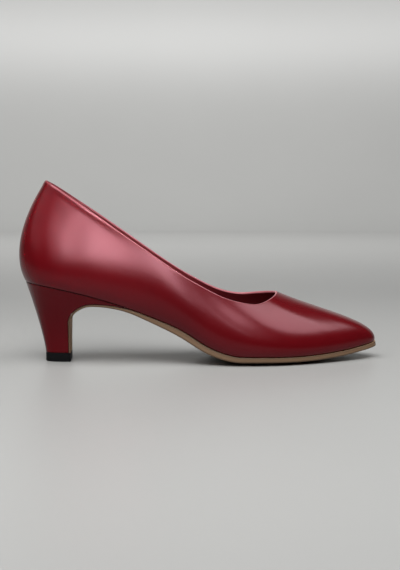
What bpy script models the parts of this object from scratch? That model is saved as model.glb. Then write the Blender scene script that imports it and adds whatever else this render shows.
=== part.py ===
"""Kitten heel pump for the right foot, at its real size, as the pieces that a shoemaker puts together.

The toe points along +X, the outer (lateral) side faces -Y, the inner (medial) side faces +Y, +Z is up
and the floor is Z = 0. Sizes are in millimetres and become metres where a mesh is made. X is counted
from the back of the heel, and the parent empty then puts the origin under the middle of the shoe.
"""

from collections import namedtuple

import bmesh
import bpy
import numpy as np

MM = 0.001
PERCENT = 0.01

# Driving dimensions of the last
LENGTH = 240.0
BALL_WIDTH = 75.0
HEEL_HEIGHT = 53.4
TREAD_HEIGHT = 2.4
INSTEP_HEIGHT = 46.3
BACK_HEIGHT = 120.6
BED_CUP = 0.0024

# Thicknesses and clearances
WALL = 1.8
LASTING_MARGIN = 7.0
LASTING_THICKNESS = 1.6
INSOLE_THICKNESS = 2.0
SOLE_EDGE = 0.5
BREAST_FLAP = 1.2
GAP = 0.35

# Heel block and its rubber top piece, with the breast curve that the sole follows
TOP_PIECE_HEIGHT = 5.7
TOP_PIECE_BEVEL = 0.5
HEEL_BASE_BACK = 16.4
HEEL_BASE_LENGTH = 15.4
HEEL_BASE_HALF = 9.8
HEEL_BASE_SQUARENESS = 2.6
BACK_HOLLOW = 1.26
SIDE_HOLLOW = 1.6
BREAST_STRAIGHT = 28.2
BREAST_CURVE_LENGTH = 16.2
BREAST_CURVE_TOP = 38.0
WING_TIP = 69.0
WING_JOIN = 78.0
BREAST_SEAT = 24.0

# Colours and roughness of the finishes
RED_CALF = (0.30, 0.008, 0.014)
RED_LINING = (0.12, 0.006, 0.010)
TAN_SOLE = (0.24, 0.135, 0.075)
BLACK_RUBBER = (0.008, 0.008, 0.009)
SATIN = 0.36
MATT = 0.5

# Mesh steps round the shoe, up the wall, across the bed and along the heel's breast, then the small
# lengths and shares that slopes, leans and the inside of the wall are measured with
ROUND_STEPS = 96
END_CROWDING = 0.5
WALL_STEPS = 10
RIM_STEPS = 3
ACROSS_STEPS = 6
HEEL_BACK_STEPS = 14
BREAST_STEPS = 4
CURVE_STEPS = 8
WING_STEPS = 4
HEEL_WALL_STEPS = 6
PROBE_STEPS = 60
PROBE_SHARE = 0.6
NUDGE = 1e-4
SLOPE_REACH = 0.5
LEAN_REACH = 7.0
MERGE_DISTANCE = 1e-7
SHARP_ANGLE = 40.0

# The upper's wall: one row for each section, from the middle of the heel to the tip of the toe.
# foot is where the wall turns under (the feather line) and top is the topline. Stations are in percent
# of LENGTH, widths in percent of BALL_WIDTH from the axis, and heights in percent of the way from
# INSTEP_HEIGHT to BACK_HEIGHT, with lift the medial side's extra. The wall leaves the foot at flare
# degrees outside the vertical and leaves the topline at drop degrees below the horizontal, and each
# reach is the length in millimetres over which it keeps that direction.
Section = namedtuple(
    "Section",
    "foot_x foot_lateral foot_medial top_x top_lateral top_medial height lift"
    " flare foot_reach drop top_reach",
)
SECTIONS = (
    Section(1.5, 0.0, 0.0, 7.1, 0.0, 0.0, 100.0, 0.0, 30, 12.0, 57, 41.0),
    Section(2.7, 16.3, 16.3, 7.8, 9.1, 9.1, 98.5, 0.0, 31, 12.0, 60, 38.0),
    Section(5.8, 27.7, 27.7, 10.1, 17.3, 17.3, 94.0, 0.0, 33, 12.5, 67, 33.0),
    Section(11.3, 33.6, 33.3, 15.2, 25.1, 25.1, 82.9, 0.0, 34, 13.0, 76, 27.0),
    Section(19.2, 34.1, 32.5, 22.1, 29.6, 29.3, 67.3, 0.7, 34, 13.0, 81, 22.0),
    Section(28.3, 32.8, 28.5, 29.6, 32.0, 30.9, 49.9, 1.3, 34, 13.0, 82, 18.0),
    Section(37.5, 33.6, 25.1, 37.1, 34.1, 32.0, 33.3, 1.0, 34, 12.0, 80, 15.0),
    Section(46.3, 38.7, 27.3, 44.2, 36.3, 33.3, 17.6, 1.3, 34, 12.0, 76, 13.0),
    Section(54.2, 45.6, 36.0, 50.6, 37.9, 35.3, 5.8, 1.6, 32, 11.5, 69, 12.5),
    Section(62.5, 50.1, 45.1, 56.3, 38.4, 36.7, -3.0, 2.3, 30, 11.0, 60, 13.0),
    Section(70.8, 48.5, 48.8, 61.3, 36.5, 35.7, -7.3, 3.3, 27, 10.5, 51, 14.5),
    Section(80.0, 39.3, 44.0, 65.2, 32.0, 32.0, -8.7, 5.3, 24, 11.0, 42, 18.0),
    Section(88.8, 25.6, 33.3, 68.1, 25.1, 25.9, -6.4, 4.3, 20, 12.0, 34, 22.0),
    Section(95.4, 13.3, 23.3, 70.2, 16.0, 17.9, -3.4, 2.4, 16, 13.0, 28, 27.0),
    Section(98.8, 4.7, 15.3, 71.4, 6.1, 8.8, -1.2, 1.0, 13, 14.0, 25, 31.0),
    Section(99.8, -5.3, 5.3, 71.7, -1.6, 1.6, 0.0, 0.0, 12, 14.0, 24, 32.0),
)

# The bed that the upper, insole, sole and heel seat share: one row for each station in percent of LENGTH.
# rise is in percent of the way from TREAD_HEIGHT to HEEL_HEIGHT, tilt is the slope up to the medial
# side, and sole is the outsole's thickness in millimetres.
Bed = namedtuple("Bed", "station rise tilt sole")
BEDS = (
    Bed(1.5, 100.0, 0.000, 1.2),
    Bed(5.8, 95.1, 0.000, 1.2),
    Bed(11.3, 89.2, 0.000, 1.2),
    Bed(19.2, 80.4, 0.005, 1.2),
    Bed(28.3, 68.4, 0.030, 1.8),
    Bed(37.5, 53.1, 0.055, 3.2),
    Bed(46.3, 32.4, 0.045, 4.0),
    Bed(50.4, 18.7, 0.030, 3.9),
    Bed(54.6, 8.1, 0.015, 3.7),
    Bed(58.8, 1.8, 0.005, 3.4),
    Bed(62.9, 0.2, 0.000, 3.2),
    Bed(68.8, 0.0, 0.000, 3.1),
    Bed(75.0, 0.8, 0.000, 3.1),
    Bed(83.3, 4.3, 0.000, 3.1),
    Bed(91.7, 10.0, 0.000, 3.0),
    Bed(100.0, 17.8, 0.000, 2.8),
)


def closed_spline(knots, values):
    """A smooth closed curve through rows of values: knots has one entry more, the length of the loop."""
    count = len(values)
    step = np.diff(knots)
    before = np.roll(step, 1)
    ahead = (np.roll(values, -1, axis=0) - values) / step[:, None]
    system = np.zeros((count, count))
    for i in range(count):
        system[i, i - 1] += before[i]
        system[i, i] += 2 * (before[i] + step[i])
        system[i, (i + 1) % count] += step[i]
    bend = np.linalg.solve(system, 6 * (ahead - np.roll(ahead, 1, axis=0)))

    def curve(where):
        where = np.mod(np.asarray(where, float), knots[-1])
        i = np.clip(np.searchsorted(knots, where, side="right") - 1, 0, count - 1)
        j = (i + 1) % count
        a = ((knots[i + 1] - where) / step[i])[:, None]
        b = 1 - a
        h = step[i][:, None]
        curl = ((a**3 - a) * bend[i] + (b**3 - b) * bend[j]) * h * h / 6
        return a * values[i] + b * values[j] + curl

    return curve


def open_spline(stations, values):
    """A smooth function of one number through a table's rows, straight at both ends."""
    stations = np.asarray(stations, float)
    values = np.asarray(values, float)
    step = np.diff(stations)
    slope = np.diff(values) / step
    count = len(stations)
    system = np.eye(count)
    right = np.zeros(count)
    for i in range(1, count - 1):
        system[i, i - 1 : i + 2] = step[i - 1], 2 * (step[i - 1] + step[i]), step[i]
        right[i] = 6 * (slope[i] - slope[i - 1])
    bend = np.linalg.solve(system, right)

    def curve(where):
        where = np.clip(np.asarray(where, float), stations[0], stations[-1])
        i = np.clip(np.searchsorted(stations, where, side="right") - 1, 0, count - 2)
        a = (stations[i + 1] - where) / step[i]
        b = 1 - a
        curl = ((a**3 - a) * bend[i] + (b**3 - b) * bend[i + 1]) * step[i] ** 2 / 6
        return a * values[i] + b * values[i + 1] + curl

    return curve


def unit(vectors):
    """The same directions, each one long."""
    return vectors / np.linalg.norm(vectors, axis=-1, keepdims=True)


# Columns of the closed curve that holds the sections of both sides
FOOT_X, FOOT_Y, TOP_X, TOP_Y, TOP_Z, FLARE, FOOT_REACH, DROP, TOP_REACH = range(9)


def section_row(section, medial):
    """A section's values on one side in millimetres and radians, with the wall ending under its rolled edge."""
    foot_y = section.foot_medial if medial else -section.foot_lateral
    top_y = section.top_medial if medial else -section.top_lateral
    share = section.height + (section.lift if medial else 0.0)
    return (
        section.foot_x * PERCENT * LENGTH,
        foot_y * PERCENT * BALL_WIDTH,
        section.top_x * PERCENT * LENGTH,
        top_y * PERCENT * BALL_WIDTH,
        INSTEP_HEIGHT + share * PERCENT * (BACK_HEIGHT - INSTEP_HEIGHT) - WALL / 2,
        np.radians(section.flare),
        section.foot_reach,
        np.radians(section.drop),
        section.top_reach,
    )


def loop_of_sections():
    """The closed curve of section values: 0 is the heel, 0.5 the toe, along the lateral side first."""
    lateral = np.array([section_row(s, False) for s in SECTIONS])
    medial = np.array([section_row(s, True) for s in SECTIONS])
    plan = (FOOT_X, FOOT_Y)
    chords = [np.linalg.norm(np.diff(side[:, plan], axis=0), axis=1) for side in (lateral, medial)]
    half = np.concatenate([[0.0], np.cumsum(sum(chords))])
    half = half / half[-1] / 2
    knots = np.concatenate([half, 1 - half[-2::-1]])
    return closed_spline(knots, np.concatenate([lateral, medial[-2:0:-1]]))


SECTION_AT = loop_of_sections()
STATIONS = [bed.station * PERCENT * LENGTH for bed in BEDS]
BED_CENTRE = open_spline(
    STATIONS,
    [TREAD_HEIGHT + bed.rise * PERCENT * (HEEL_HEIGHT - TREAD_HEIGHT) for bed in BEDS],
)
BED_TILT = open_spline(STATIONS, [bed.tilt for bed in BEDS])
SOLE_THICKNESS = open_spline(STATIONS, [bed.sole for bed in BEDS])


def bed_height(x, y):
    """Height of the underside of the lasted upper, cupped across the foot."""
    return BED_CENTRE(x) + BED_TILT(x) * y + BED_CUP * y * y


def bed_normal(x, y):
    """Upward normal of the bed along the foot, in the plane of X and Z."""
    rise = bed_height(x + SLOPE_REACH, y) - bed_height(x - SLOPE_REACH, y)
    slope = rise / (2 * SLOPE_REACH)
    return unit(np.stack([-slope, np.zeros_like(slope), np.ones_like(slope)], axis=-1))


def around(count):
    """Places round the shoe from 0 to 1, closer together at the heel and the toe."""
    even = np.arange(count) / count
    return even - END_CROWDING * np.sin(4 * np.pi * even) / (4 * np.pi)


def along(count):
    """Places from the heel, 0, to the toe, 0.5, that match those of around()."""
    even = np.linspace(0, 0.5, count + 1)
    return even - END_CROWDING * np.sin(4 * np.pi * even) / (4 * np.pi)


def plan_normal(where, x, y):
    """Outward direction on the floor plan at places round a closed curve of sections."""
    run = SECTION_AT(where + NUDGE) - SECTION_AT(where - NUDGE)
    return unit(np.stack([run[:, y], -run[:, x], np.zeros(len(run))], axis=-1))


def foot_points(where, outset=0.0):
    """Points of the feather line, moved outwards on the floor plan, on the bed."""
    rows = SECTION_AT(where)
    flat = np.stack([rows[:, FOOT_X], rows[:, FOOT_Y], np.zeros(len(rows))], axis=-1)
    flat = flat + plan_normal(where, FOOT_X, FOOT_Y) * outset
    flat[:, 2] = bed_height(flat[:, 0], flat[:, 1])
    return flat


def wall_points(where, up):
    """Points of the upper's outside, for places round the shoe and shares of the way up the wall."""
    rows = SECTION_AT(where)
    foot = foot_points(where)
    top = rows[:, [TOP_X, TOP_Y, TOP_Z]]
    rise = np.array([0.0, 0.0, 1.0])
    flare = rows[:, [FLARE]]
    foot_way = plan_normal(where, FOOT_X, FOOT_Y) * np.sin(flare) + rise * np.cos(flare)
    outward = foot - top
    outward[:, 2] = 0
    length = np.linalg.norm(outward, axis=1, keepdims=True)
    lean = plan_normal(where, TOP_X, TOP_Y) + outward / np.maximum(length, LEAN_REACH)
    drop = rows[:, [DROP]]
    top_way = unit(lean) * np.cos(drop) - rise * np.sin(drop)
    handles = (
        foot,
        foot + foot_way * rows[:, [FOOT_REACH]],
        top + top_way * rows[:, [TOP_REACH]],
        top,
    )
    t = np.asarray(up, float)[None, :, None]
    weights = ((1 - t) ** 3, 3 * t * (1 - t) ** 2, 3 * t * t * (1 - t), t**3)
    return sum(weight * handle[:, None, :] for weight, handle in zip(weights, handles))


def wall_frame(where, up):
    """Outside points of the wall with their outward normals and their upward directions."""
    points = wall_points(where, up)
    run = wall_points(where + NUDGE, up) - wall_points(where - NUDGE, up)
    climb = wall_points(where, up + NUDGE) - wall_points(where, up - NUDGE)
    return points, unit(np.cross(run, climb)), unit(climb)


def inside_points(where, height):
    """Points of the upper's inside at a height over the bed, at places round the shoe."""
    up = np.linspace(0, PROBE_SHARE, PROBE_STEPS + 1)
    outside, out, _ = wall_frame(where, up)
    inside = outside - out * WALL
    over = inside[..., 2] - bed_height(inside[..., 0], inside[..., 1])
    return np.array(
        [
            [np.interp(height, level, column[:, axis]) for axis in range(3)]
            for level, column in zip(over, inside)
        ]
    )


def half_width(x, medial):
    """Width of the feather line from the axis at a station, on one side."""
    where = along(ROUND_STEPS)
    rows = SECTION_AT(1 - where if medial else where)
    return np.interp(x, rows[:, FOOT_X], np.abs(rows[:, FOOT_Y]))


def place_of(x):
    """The places along the lateral feather line, from 0 to 0.5, at stations."""
    where = along(ROUND_STEPS)
    return np.interp(x, SECTION_AT(where)[:, FOOT_X], where)


def solid(name, rings, closed, colour, roughness):
    """A closed object lofted through rings of points, each ring a closed loop of the same count."""
    mesh = bmesh.new()
    loops = [[mesh.verts.new(point * MM) for point in ring] for ring in rings]
    count = len(loops)
    for i in range(count if closed else count - 1):
        ahead = loops[(i + 1) % count]
        for j, corner in enumerate(loops[i]):
            k = (j + 1) % len(ahead)
            mesh.faces.new((corner, loops[i][k], ahead[k], ahead[j]))
    if not closed:
        mesh.faces.new(loops[0])
        mesh.faces.new(loops[-1])
    bmesh.ops.remove_doubles(mesh, verts=mesh.verts, dist=MERGE_DISTANCE)
    bmesh.ops.dissolve_degenerate(mesh, edges=mesh.edges, dist=MERGE_DISTANCE)
    bmesh.ops.recalc_face_normals(mesh, faces=mesh.faces)
    data = bpy.data.meshes.new(name)
    mesh.to_mesh(data)
    mesh.free()
    data.shade_smooth()
    data.set_sharp_from_angle(angle=np.radians(SHARP_ANGLE))
    data.materials.append(finish(name, colour, roughness))
    made = bpy.data.objects.new(name, data)
    bpy.context.scene.collection.objects.link(made)
    return made


def finish(name, colour, roughness):
    """A plain material in a piece's colour."""
    material = bpy.data.materials.new(name)
    material.use_nodes = True
    shader = material.node_tree.nodes["Principled BSDF"]
    shader.inputs["Base Color"].default_value = (*colour, 1.0)
    shader.inputs["Roughness"].default_value = roughness
    shader.inputs["Metallic"].default_value = 0.0
    return material


def make_upper():
    """The one-piece hollow upper: outside, rolled topline, inside, and the margin lasted under the foot."""
    where = around(ROUND_STEPS)
    up = np.linspace(0, 1, WALL_STEPS + 1)
    outside, out, climb = wall_frame(where, up)
    inside = outside - out * WALL
    middle = (outside[:, -1] + inside[:, -1]) / 2
    turns = np.linspace(0, np.pi, RIM_STEPS + 2)[1:-1]
    rim = [
        middle + (out[:, -1] * np.cos(turn) + climb[:, -1] * np.sin(turn)) * WALL / 2
        for turn in turns
    ]
    margin = foot_points(where, -LASTING_MARGIN)
    lifted = margin + np.array([0.0, 0.0, LASTING_THICKNESS])
    rings = np.concatenate(
        [outside, np.stack(rim, axis=1), inside[:, ::-1], lifted[:, None], margin[:, None]],
        axis=1,
    )
    return solid("upper", rings, True, RED_CALF, SATIN)


def across(lateral, medial, count):
    """Points on straight lines from the lateral to the medial ends, count steps each."""
    share = np.linspace(0, 1, count + 1)[None, :, None]
    return lateral[:, None, :] * (1 - share) + medial[:, None, :] * share


def on_bed(points, height):
    """The same points of the floor plan at a height over the bed."""
    placed = points.copy()
    placed[..., 2] = bed_height(points[..., 0], points[..., 1]) + height
    return placed


def make_insole():
    """The insole, which lies on the lasting margin inside the upper."""
    where = along(ROUND_STEPS // 2)
    faces = []
    for height in (LASTING_THICKNESS + GAP, LASTING_THICKNESS + GAP + INSOLE_THICKNESS):
        edges = [
            inside_points(side, height) - plan_normal(side, FOOT_X, FOOT_Y) * GAP
            for side in (where, -where)
        ]
        faces.append(on_bed(across(*edges, ACROSS_STEPS), height))
    rings = np.concatenate([faces[0], faces[1][:, ::-1]], axis=1)
    return solid("insole", rings, False, RED_LINING, MATT)


# Centre line of the sole's upper face at the heel: breast, quarter ellipse, then the wing to the waist
BREAST_X = HEEL_BASE_BACK + HEEL_BASE_LENGTH + GAP
HEEL_BASE_Z = TOP_PIECE_HEIGHT + GAP


def breast_line(steps):
    """Points up the straight breast, from the top piece."""
    height = np.linspace(HEEL_BASE_Z, BREAST_STRAIGHT, steps + 1)
    return np.stack([np.full(len(height), BREAST_X), height], axis=-1), np.zeros(len(height))


def breast_curve(steps):
    """Points round the quarter ellipse from the breast to the arch, with the share of cupping there."""
    turn = np.linspace(0, np.pi / 2, steps + 1)
    x = BREAST_X + BREAST_CURVE_LENGTH * (1 - np.cos(turn))
    z = BREAST_STRAIGHT + (BREAST_CURVE_TOP - BREAST_STRAIGHT) * np.sin(turn)
    return np.stack([x, z], axis=-1), (1 - np.cos(2 * turn)) / 2


def wing_line(end, steps):
    """Points from the top of the arch to a station on the way to the waist, where sole and upper meet."""
    start = BREAST_X + BREAST_CURVE_LENGTH
    span = WING_JOIN - start
    normal = bed_normal(np.array(WING_JOIN), np.array(0.0))
    end_slope = -normal[0] / normal[2] * span
    x = np.linspace(start, end, steps + 1)
    t = (x - start) / span
    z = (
        (2 * t**3 - 3 * t**2 + 1) * BREAST_CURVE_TOP
        + (3 * t**2 - 2 * t**3) * (bed_height(WING_JOIN, 0.0) - GAP)
        + (t**3 - t**2) * end_slope
    )
    return np.stack([x, z], axis=-1), np.ones(len(t))


def arch_line(wing_end):
    """Centre line from the top piece to the wing, its share of cupping, and its normals into the heel."""
    parts = breast_line(BREAST_STEPS), breast_curve(CURVE_STEPS), wing_line(wing_end, WING_STEPS)
    line = np.concatenate([parts[0][0], parts[1][0][1:], parts[2][0][1:]])
    cupping = np.concatenate([parts[0][1], parts[1][1][1:], parts[2][1][1:]])
    run = unit(np.gradient(line, axis=0))
    return line, cupping, np.stack([-run[:, 1], run[:, 0]], axis=-1)


def heel_half_width(x, z, medial):
    """Half width of the heel block at a station and height, hollowed between its base and its seat."""
    seat = half_width(x, medial)
    top = bed_height(x, 0.0) - GAP
    share = np.clip((z - HEEL_BASE_Z) / (top - HEEL_BASE_Z), 0, 1)
    return HEEL_BASE_HALF + (seat - HEEL_BASE_HALF) * share**SIDE_HOLLOW


def arch_rows(line, cupping, lateral, medial):
    """Rows of points across the arch for a centre line, with the bed's cup and tilt where it has them."""
    share = np.linspace(0, 1, ACROSS_STEPS + 1)[None, :]
    y = -lateral[:, None] * (1 - share) + medial[:, None] * share
    x = np.broadcast_to(line[:, :1], y.shape)
    z = line[:, 1:] + cupping[:, None] * (BED_TILT(x) * y + BED_CUP * y * y)
    return np.stack([x, y, z], axis=-1)


def make_outsole():
    """The leather sole: tread and waist under the upper, then the flap down the heel's breast."""
    line, cupping, inward = arch_line(WING_JOIN)
    lateral = heel_half_width(line[:, 0], line[:, 1], False)
    medial = heel_half_width(line[:, 0], line[:, 1], True)
    ease = np.clip((line[:, 0] - WING_TIP) / (WING_JOIN - WING_TIP), 0, 1) * SOLE_EDGE
    flap = arch_rows(line, cupping, lateral + ease, medial + ease)
    into_heel = np.stack([inward[:, 0], np.zeros(len(line)), inward[:, 1]], axis=-1)[:, None, :]
    flap_depth = np.maximum(SOLE_THICKNESS(line[:, 0]), BREAST_FLAP)[:, None, None]
    flap_under = flap - into_heel * flap_depth

    where = along(ROUND_STEPS // 2)
    half_step = 0.5 / ROUND_STEPS
    where = where[where > place_of(WING_JOIN) + half_step]
    plan = across(foot_points(where, SOLE_EDGE), foot_points(-where, SOLE_EDGE), ACROSS_STEPS)
    tread = on_bed(plan, -GAP)
    depth = SOLE_THICKNESS(plan[..., 0])[..., None]
    tread_under = tread - bed_normal(plan[..., 0], plan[..., 1]) * depth
    tread_under[..., 2] = np.maximum(tread_under[..., 2], 0.0)

    over = np.concatenate([flap, tread])
    under = np.concatenate([flap_under, tread_under])
    rings = np.concatenate([under, over[:, ::-1]], axis=1)
    return solid("outsole", rings, False, TAN_SOLE, MATT)


def heel_base_outline(share):
    """Lateral half of the heel's base, from the middle of its back to the corner of its breast."""
    turn = share * np.pi / 2
    power = 2 / HEEL_BASE_SQUARENESS
    x = HEEL_BASE_BACK + HEEL_BASE_LENGTH * (1 - np.cos(turn) ** power)
    return x, HEEL_BASE_HALF * np.sin(turn) ** power


def heel_side(base, seat, up):
    """Columns of one side of the heel from its base or breast points up to its seat points."""
    start = (base[:, 2] - HEEL_BASE_Z) / (seat[:, 2] - HEEL_BASE_Z)
    share = start[:, None] + (1 - start[:, None]) * up[None, :]
    x = base[:, :1] + (seat[:, :1] - base[:, :1]) * up[None, :] ** BACK_HOLLOW
    z = HEEL_BASE_Z + (seat[:, 2:] - HEEL_BASE_Z) * share
    width = share**SIDE_HOLLOW
    width = (width - width[:, :1]) / (1 - width[:, :1])
    y = base[:, 1:2] + (seat[:, 1:2] - base[:, 1:2]) * width
    return np.stack([x, y, z], axis=-1)


def make_heel():
    """The covered heel block: cupped seat, hollowed back and sides, breast, and a thin wing to the waist."""
    base_x, base_y = heel_base_outline(np.linspace(0, 1, HEEL_BACK_STEPS + 1))
    base_z = np.full(len(base_x), HEEL_BASE_Z)

    line, cupping, inward = arch_line(WING_TIP)
    line = (line + inward * GAP)[1:]
    cupping = cupping[1:]
    seat_x = line[:, 0].copy()
    seat_x[:BREAST_STEPS] = np.linspace(BREAST_SEAT, seat_x[BREAST_STEPS], BREAST_STEPS + 1)[1:]
    back_places = np.linspace(0, place_of(BREAST_SEAT), HEEL_BACK_STEPS + 1)
    where = np.concatenate([back_places, place_of(seat_x)])
    up = np.linspace(0, 1, HEEL_WALL_STEPS + 1)
    widths = [heel_half_width(line[:, 0], line[:, 1], medial) for medial in (False, True)]
    breast = arch_rows(line, cupping, *widths)
    base = across(
        np.stack([base_x, -base_y, base_z], axis=-1),
        np.stack([base_x, base_y, base_z], axis=-1),
        ACROSS_STEPS,
    )
    under = np.concatenate([base, breast])
    drop = np.array([0.0, 0.0, GAP])
    lateral = heel_side(under[:, 0], foot_points(where) - drop, up)
    medial = heel_side(under[:, -1], foot_points(-where) - drop, up)
    over = on_bed(across(lateral[:, -1], medial[:, -1], ACROSS_STEPS), -GAP)[:, 1:-1]
    rings = np.concatenate([lateral, over, medial[:, ::-1], under[:, -2:0:-1]], axis=1)
    return solid("heel", rings, False, RED_CALF, SATIN)


def make_top_piece():
    """The black rubber top piece under the heel and the end of the breast flap."""
    x, y = heel_base_outline(np.linspace(0, 1, HEEL_BACK_STEPS + 1))
    front = BREAST_X + BREAST_FLAP
    x = np.append(x, front)
    y = np.append(y, HEEL_BASE_HALF)
    outline = np.concatenate(
        [np.stack([x, -y], axis=-1), np.stack([x[:0:-1], y[:0:-1]], axis=-1)]
    )
    middle = np.array([(HEEL_BASE_BACK + front) / 2, 0.0])
    inset = 1 - TOP_PIECE_BEVEL / HEEL_BASE_HALF
    rings = []
    for height, scale in ((0.0, inset), (TOP_PIECE_BEVEL, 1.0), (TOP_PIECE_HEIGHT, 1.0)):
        flat = middle + (outline - middle) * scale
        rings.append(np.column_stack([flat, np.full(len(flat), height)]))
    return solid("top_piece", np.array(rings), False, BLACK_RUBBER, MATT)


def stand_at_origin(pieces):
    """Parents the pieces to an empty that puts the origin on the floor under the middle of their box."""
    corners = np.array([vertex.co for piece in pieces for vertex in piece.data.vertices])
    middle = (corners.min(axis=0) + corners.max(axis=0)) / 2
    shoe = bpy.data.objects.new("shoe", None)
    bpy.context.scene.collection.objects.link(shoe)
    shoe.location = (-middle[0], -middle[1], 0.0)
    for piece in pieces:
        piece.parent = shoe


def main():
    """Builds the shoe in an emptied scene."""
    for old in list(bpy.data.objects):
        bpy.data.objects.remove(old)
    stand_at_origin(
        [make_upper(), make_insole(), make_outsole(), make_heel(), make_top_piece()]
    )


main()
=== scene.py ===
"""The looks of a red calf pump with a kitten heel, laid out as a Blender add-on.

The pieces are worked out on the same last as the frame's solids, with finer steps, rounded edges and the
finish of each material. Lengths are in metres. The toe points along +X, the outer (lateral) side of this
right shoe faces -Y, and the floor is Z = 0. Stations along the shoe are counted from the back of the heel.
"""

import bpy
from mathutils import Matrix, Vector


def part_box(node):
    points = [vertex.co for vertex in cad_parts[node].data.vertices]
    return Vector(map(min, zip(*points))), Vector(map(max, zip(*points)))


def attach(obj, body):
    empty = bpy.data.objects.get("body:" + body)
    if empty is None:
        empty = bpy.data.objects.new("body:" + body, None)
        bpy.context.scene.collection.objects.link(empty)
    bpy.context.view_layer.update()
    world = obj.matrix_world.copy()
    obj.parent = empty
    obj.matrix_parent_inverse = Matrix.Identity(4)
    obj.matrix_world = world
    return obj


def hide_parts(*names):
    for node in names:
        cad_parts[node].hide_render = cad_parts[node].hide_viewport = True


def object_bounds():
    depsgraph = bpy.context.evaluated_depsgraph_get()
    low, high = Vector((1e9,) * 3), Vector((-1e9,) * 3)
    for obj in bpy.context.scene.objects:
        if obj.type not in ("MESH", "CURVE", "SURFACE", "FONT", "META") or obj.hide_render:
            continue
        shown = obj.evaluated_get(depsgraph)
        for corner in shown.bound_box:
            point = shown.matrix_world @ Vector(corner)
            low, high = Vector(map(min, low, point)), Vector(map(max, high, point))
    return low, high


bl_info = {
    "name": "Kitten Heel Pump",
    "version": (1, 0, 0),
    "blender": (4, 5, 0),
    "location": "3D View > Sidebar > Pump",
    "description": "Dresses the solids of a kitten heel pump in calf, kid, sole leather and rubber",
    "category": "Object",
}

from collections import namedtuple

import bmesh
import bpy
import numpy as np
from bpy.props import FloatProperty, FloatVectorProperty, PointerProperty
from mathutils import Quaternion, Vector

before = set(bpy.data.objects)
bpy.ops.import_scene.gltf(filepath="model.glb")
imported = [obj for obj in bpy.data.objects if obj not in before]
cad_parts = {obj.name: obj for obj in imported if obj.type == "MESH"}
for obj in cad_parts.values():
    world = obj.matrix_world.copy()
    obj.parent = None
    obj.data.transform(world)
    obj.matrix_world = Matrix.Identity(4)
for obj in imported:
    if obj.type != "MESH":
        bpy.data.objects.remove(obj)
CAD_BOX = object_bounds()
BODY = "root"

MM = 0.001
PERCENT = 0.01

# Mesh steps round the shoe, and how much they crowd towards the heel and the toe
ROUND_STEPS = 400
END_CROWDING = 0.5

# Mesh steps up the upper's outside, over its hem, down its hidden face, down the lining's face, and round
# the bend at the feather line
WALL_STEPS = 38
HEM_STEPS = 26
HIDDEN_STEPS = 12
LINING_STEPS = 30
FEATHER_STEPS = 5

# Mesh steps along and across the bed, and up the edges of insole and sole
ALONG_STEPS = 180
ACROSS_STEPS = 18
EDGE_STEPS = 6

# Mesh steps round the heel's back, up its breast, round the curve to the arch, along its wing, up its side
HEEL_BACK_STEPS = 56
BREAST_STEPS = 22
CURVE_STEPS = 30
WING_STEPS = 26
HEEL_WALL_STEPS = 30

# Mesh steps round a rounded edge and round the roll of the topline
CORNER_STEPS = 4
ROLL_SIDES = 20

# Steps up the wall, and the share of it, in the search for a height on the upper's inside
PROBE_STEPS = 60
PROBE_SHARE = 0.6

# Step round or up the wall for its directions, steps along the bed for its slope, the width over which a
# steep wall's lean fades, the merging distance, the angle of a sharp edge in degrees, the most of a side
# that a rounded corner may take, and the speed of a cubic curve at its ends, in lengths of its handles
NUDGE = 1e-4
SLOPE_REACH = 0.5 * MM
LEAN_REACH = 7.0 * MM
WELD_DISTANCE = 1e-7
SHARP_ANGLE = 40.0
CORNER_LIMIT = 0.45
BEZIER_SPEED = 3

# Depth of every grain, the gloss of the dressed calf on the upper and on the heel, the colour of that
# gloss, and the share of the painted highlight on the crown of the topline that fades away over the turned
# hem
GRAIN_DEPTH = 0.2 * MM
CALF_SHINE = 0.42
COVER_SHINE = 0.22
CALF_GLOSS = (1.0, 0.48, 0.56, 1.0)
HIGHLIGHT_FADE_OVER_HEM = 0.72

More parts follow.
